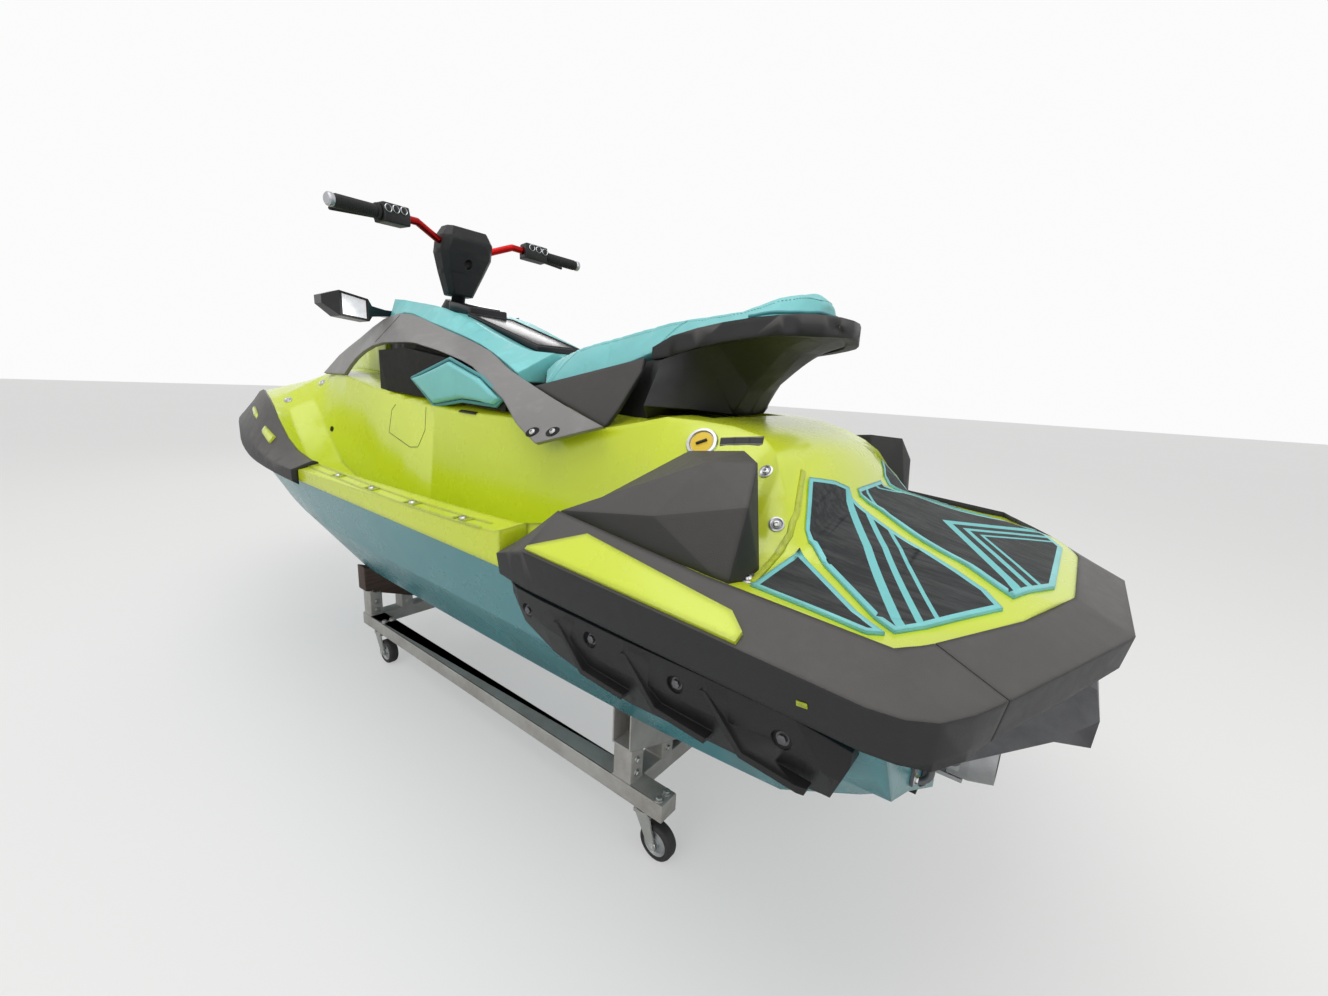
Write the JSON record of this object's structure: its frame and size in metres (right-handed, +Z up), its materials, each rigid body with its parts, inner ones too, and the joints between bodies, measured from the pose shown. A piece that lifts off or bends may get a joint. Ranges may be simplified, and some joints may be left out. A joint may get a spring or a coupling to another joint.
{
  "type": "personal watercraft on a shop dolly",
  "caption": "Sit-on jet-driven personal watercraft with padded seat, leaning handlebar, hinged hood and seat, jet pump with reverse bucket, parked on a wheeled dolly.",
  "frame": {"origin": "on the floor under the middle of the craft", "axes": "+X to the bow, +Y to port, +Z up"},
  "size_m": [3.14, 1.136, 1.4317],
  "materials": {
    "teal_hull": "gloss gelcoat",
    "lime_deck": "gloss gelcoat",
    "teal_cowl": "gloss moulding",
    "teal_vinyl": "padded marine vinyl",
    "black_plastic": "moulded black plastic",
    "black_gloss": "gloss black moulding",
    "charcoal_bumper": "soft bumper moulding",
    "lime_strip": "coloured insert",
    "grey_arch": "satin warm grey paint",
    "mat_foam": "grooved foam mat",
    "silver": "silver paint",
    "red_bar": "red anodised tube",
    "grip_rubber": "ribbed rubber",
    "pump_metal": "cast aluminium",
    "steel": "stainless steel",
    "engine_metal": "painted casting",
    "dolly_alloy": "extruded aluminium",
    "plank": "dark stained plank",
    "zinc": "zinc plated steel",
    "wheel_rubber": "hard rubber tread"
  },
  "bodies": {
    "craft": {"hull": "teal_hull", "deck": "lime_deck", "foredeck": "lime_deck", "side_bumpers": "charcoal_bumper", "stern_bumper": "charcoal_bumper", "bow_bumper": "charcoal_bumper", "bumper_strips": "lime_strip", "sponsons": "black_plastic", "foot_wedges": "charcoal_bumper", "cowl_top": "teal_cowl", "cowl_core": "black_plastic", "side_arches": "grey_arch", "knee_pads": "teal_vinyl", "intake_panels": "black_plastic", "side_covers": "charcoal_bumper", "dash": "black_gloss", "mirrors": "silver", "column_boot": "black_plastic", "deck_mats": "mat_foam", "jet_pump": "pump_metal", "under_fittings": "black_plastic", "engine": "engine_metal", "tow_eyes": "steel", "dolly_frame": "dolly_alloy", "rear_bunk": "dolly_alloy", "front_bunk": "plank"},
    "hood": {"hood": "lime_deck"},
    "seat": {"seat_cushion": "teal_vinyl", "seat_shell": "black_plastic", "grab_band": "black_gloss"},
    "console_lid": {"console_lid": "black_gloss"},
    "handlebar": {"handlebar": "red_bar", "bar_riser": "black_plastic", "grips": "grip_rubber", "bar_controls": "black_plastic"},
    "impeller": {"impeller": "steel"},
    "nozzle": {"steering_nozzle": "pump_metal"},
    "bucket": {"reverse_bucket": "silver"},
    "fork_front_port": {"fork_front_port": "zinc"},
    "wheel_front_port": {"wheel_front_port": "wheel_rubber"},
    "fork_front_starboard": {"fork_front_starboard": "zinc"},
    "wheel_front_starboard": {"wheel_front_starboard": "wheel_rubber"},
    "fork_rear_port": {"fork_rear_port": "zinc"},
    "wheel_rear_port": {"wheel_rear_port": "wheel_rubber"},
    "fork_rear_starboard": {"fork_rear_starboard": "zinc"},
    "wheel_rear_starboard": {"wheel_rear_starboard": "wheel_rubber"}
  },
  "joints": [
    {"name": "steering", "type": "hinge", "parent": "craft", "child": "handlebar", "pos_m": [0.3, 0, 1.19], "axis": [-0.2924, 0, 0.9563], "range_deg": [-20, 20]},
    {"name": "nozzle_turn", "type": "hinge", "parent": "craft", "child": "nozzle", "pos_m": [-1.385, 0, 0.33], "axis": [0, 0, 1], "range_deg": [-20, 20]},
    {"name": "bucket_tilt", "type": "hinge", "parent": "craft", "child": "bucket", "pos_m": [-1.382, 0, 0.345], "axis": [0, 1, 0], "range_deg": [-60, 0]},
    {"name": "impeller_spin", "type": "hinge", "parent": "craft", "child": "impeller", "pos_m": [-1.17, 0, 0.33], "axis": [1, 0, 0], "continuous": true},
    {"name": "hood_hinge", "type": "hinge", "parent": "craft", "child": "hood", "pos_m": [1.188, 0, 0.9], "axis": [0, 1, 0], "range_deg": [0, 50]},
    {"name": "lid_hinge", "type": "hinge", "parent": "craft", "child": "console_lid", "pos_m": [0.108, 0, 1.152], "axis": [0, 1, 0], "range_deg": [0, 60]},
    {"name": "seat_hinge", "type": "hinge", "parent": "craft", "child": "seat", "pos_m": [-0.335, 0, 1.022], "axis": [0, 1, 0], "range_deg": [0, 30]},
    {"name": "swivel_front_port", "type": "hinge", "parent": "craft", "child": "fork_front_port", "pos_m": [0.281, 0.32, 0.1], "axis": [0, 0, 1], "continuous": true},
    {"name": "roll_front_port", "type": "hinge", "parent": "fork_front_port", "child": "wheel_front_port", "pos_m": [0.249, 0.32, 0.04], "axis": [0, 1, 0], "continuous": true},
    {"name": "swivel_front_starboard", "type": "hinge", "parent": "craft", "child": "fork_front_starboard", "pos_m": [0.281, -0.32, 0.1], "axis": [0, 0, 1], "continuous": true},
    {"name": "roll_front_starboard", "type": "hinge", "parent": "fork_front_starboard", "child": "wheel_front_starboard", "pos_m": [0.249, -0.32, 0.04], "axis": [0, 1, 0], "continuous": true},
    {"name": "swivel_rear_port", "type": "hinge", "parent": "craft", "child": "fork_rear_port", "pos_m": [-0.885, 0.32, 0.1], "axis": [0, 0, 1], "continuous": true},
    {"name": "roll_rear_port", "type": "hinge", "parent": "fork_rear_port", "child": "wheel_rear_port", "pos_m": [-0.917, 0.32, 0.04], "axis": [0, 1, 0], "continuous": true},
    {"name": "swivel_rear_starboard", "type": "hinge", "parent": "craft", "child": "fork_rear_starboard", "pos_m": [-0.885, -0.32, 0.1], "axis": [0, 0, 1], "continuous": true},
    {"name": "roll_rear_starboard", "type": "hinge", "parent": "fork_rear_starboard", "child": "wheel_rear_starboard", "pos_m": [-0.917, -0.32, 0.04], "axis": [0, 1, 0], "continuous": true}
  ],
  "couplings": [
    {"joint": "nozzle_turn", "follows": "steering", "ratio": -1}
  ]
}
